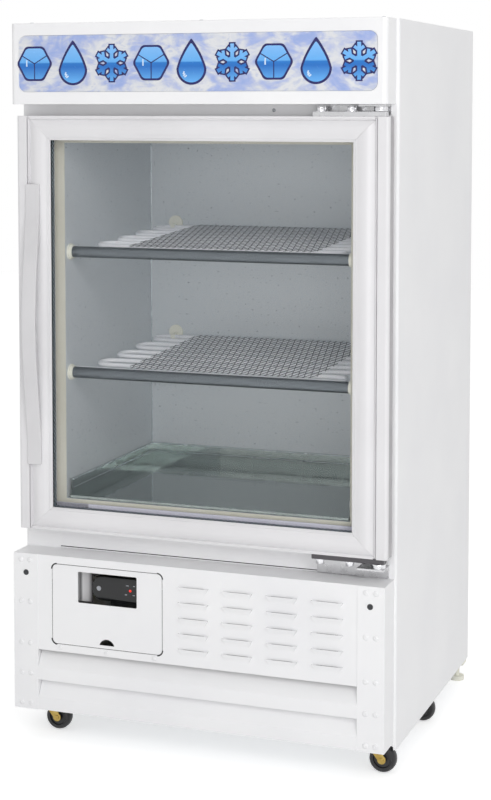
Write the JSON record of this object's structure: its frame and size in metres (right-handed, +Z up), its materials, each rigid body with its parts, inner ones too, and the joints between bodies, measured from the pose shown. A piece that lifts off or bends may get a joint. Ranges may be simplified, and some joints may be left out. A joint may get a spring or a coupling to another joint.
{
  "type": "ice merchandiser freezer",
  "caption": "Upright glass-door ice freezer with a sign box above the door, tube shelves inside, and a louvred kick panel with a control hatch on casters.",
  "frame": {"origin": "on the floor, at the middle of the whole object in width and depth", "axes": "+X to the right as you face the door, +Y to the back, +Z up"},
  "size_m": [0.555, 0.4898, 1.0201],
  "materials": {
    "white_paint": "smooth semi-gloss powder coat",
    "door_white": "satin white extrusion",
    "foam": "rigid foam",
    "liner_metal": "stucco-free mill finish, satin",
    "cream_plastic": "satin",
    "sign": "gloss",
    "lamp": "opal",
    "zinc": "zinc plated",
    "dark_plastic": "matt",
    "foot_plastic": "satin",
    "bright_metal": "bright",
    "bar_metal": "satin anodised",
    "white_plastic": "satin",
    "tube_paint": "white coated",
    "copper": "tarnished",
    "black_paint": "semi-gloss",
    "fin_metal": "bare",
    "dark_gloss": "gloss",
    "glass": "clear",
    "spacer_metal": "satin, perforated",
    "gasket_grey": "matt",
    "handle_grey": "satin",
    "dark_metal": "satin",
    "stainless": "bright rolled",
    "mesh_metal": "satin",
    "yellow_zinc": "yellow passivated zinc",
    "wheel_black": "satin"
  },
  "bodies": {
    "cabinet": {"side_panel_left": "white_paint", "side_panel_right": "white_paint", "top_panel": "white_paint", "rear_panel": "white_paint", "rear_grille": "white_paint", "insulation": "foam", "liner": "liner_metal", "breaker_strip": "cream_plastic", "front_bands": "white_paint", "header_shell": "white_paint", "sign_panel": "sign", "sign_lamp": "lamp", "corner_posts": "white_paint", "vent_panel": "white_paint", "kick_slats": "white_paint", "rivets": "white_paint", "screws": "zinc", "hole_plugs": "dark_plastic", "base_pan": "zinc", "rear_feet": "foot_plastic", "caster_plates": "zinc", "hinge_bracket_upper": "bright_metal", "hinge_bracket_lower": "bright_metal", "shelf_bars": "bar_metal", "bar_caps": "white_plastic", "evaporator_coils": "tube_paint", "coil_clips": "white_plastic", "refrigerant_lines": "copper", "drain_tube": "white_plastic", "compressor": "black_paint", "condenser": "fin_metal", "fan_shroud": "black_paint", "fan_motor": "black_paint", "condensate_pan": "dark_plastic", "controller_case": "dark_plastic", "controller_face": "dark_gloss", "cord_gland": "dark_plastic"},
    "door": {"door_stile_left": "door_white", "door_stile_right": "door_white", "door_rail_top": "door_white", "door_rail_bottom": "door_white", "glass_outer": "glass", "glass_inner": "glass", "spacer_bar": "spacer_metal", "gasket": "gasket_grey", "handle": "handle_grey", "door_hinge_plates": "dark_metal"},
    "hatch": {"control_hatch": "white_paint"},
    "tray": {"bottom_tray": "stainless"},
    "mat_upper": {"mesh_mat_upper": "mesh_metal"},
    "mat_lower": {"mesh_mat_lower": "mesh_metal"},
    "fan": {"fan_blade": "fin_metal"},
    "caster_front_left": {"fork_front_left": "yellow_zinc"},
    "roller_front_left": {"wheel_front_left": "wheel_black"},
    "caster_front_right": {"fork_front_right": "yellow_zinc"},
    "roller_front_right": {"wheel_front_right": "wheel_black"},
    "caster_back_left": {"fork_back_left": "yellow_zinc"},
    "roller_back_left": {"wheel_back_left": "wheel_black"},
    "caster_back_right": {"fork_back_right": "yellow_zinc"},
    "roller_back_right": {"wheel_back_right": "wheel_black"}
  },
  "joints": [
    {"name": "door_hinge", "type": "hinge", "parent": "cabinet", "child": "door", "pos_m": [0.258, -0.2151, 0.5945], "axis": [0, 0, 1], "range_deg": [0, 110]},
    {"name": "hatch_hinge", "type": "hinge", "parent": "cabinet", "child": "hatch", "pos_m": [-0.1294, -0.2377, 0.2443], "axis": [-1, 0, 0], "range_deg": [0, 100]},
    {"name": "tray_lift", "type": "slide", "parent": "cabinet", "child": "tray", "axis": [0, 0, 1], "range_m": [0, 0.08]},
    {"name": "mat_upper_lift", "type": "slide", "parent": "cabinet", "child": "mat_upper", "axis": [0, 0, 1], "range_m": [0, 0.04]},
    {"name": "mat_lower_lift", "type": "slide", "parent": "cabinet", "child": "mat_lower", "axis": [0, 0, 1], "range_m": [0, 0.04]},
    {"name": "fan_spin", "type": "hinge", "parent": "cabinet", "child": "fan", "pos_m": [0.0695, -0.1131, 0.1335], "axis": [0, 1, 0], "continuous": true},
    {"name": "swivel_front_left", "type": "hinge", "parent": "cabinet", "child": "caster_front_left", "pos_m": [-0.2435, -0.1891, 0.042], "axis": [0, 0, 1], "continuous": true},
    {"name": "swivel_front_right", "type": "hinge", "parent": "cabinet", "child": "caster_front_right", "pos_m": [0.2435, -0.1891, 0.042], "axis": [0, 0, 1], "continuous": true},
    {"name": "swivel_back_left", "type": "hinge", "parent": "cabinet", "child": "caster_back_left", "pos_m": [-0.2435, 0.0249, 0.042], "axis": [0, 0, 1], "continuous": true},
    {"name": "swivel_back_right", "type": "hinge", "parent": "cabinet", "child": "caster_back_right", "pos_m": [0.2435, 0.0249, 0.042], "axis": [0, 0, 1], "continuous": true},
    {"name": "roll_front_left", "type": "hinge", "parent": "caster_front_left", "child": "roller_front_left", "pos_m": [-0.2285, -0.1891, 0.019], "axis": [0, 1, 0], "continuous": true},
    {"name": "roll_front_right", "type": "hinge", "parent": "caster_front_right", "child": "roller_front_right", "pos_m": [0.2585, -0.1891, 0.019], "axis": [0, 1, 0], "continuous": true},
    {"name": "roll_back_left", "type": "hinge", "parent": "caster_back_left", "child": "roller_back_left", "pos_m": [-0.2285, 0.0249, 0.019], "axis": [0, 1, 0], "continuous": true},
    {"name": "roll_back_right", "type": "hinge", "parent": "caster_back_right", "child": "roller_back_right", "pos_m": [0.2585, 0.0249, 0.019], "axis": [0, 1, 0], "continuous": true}
  ]
}
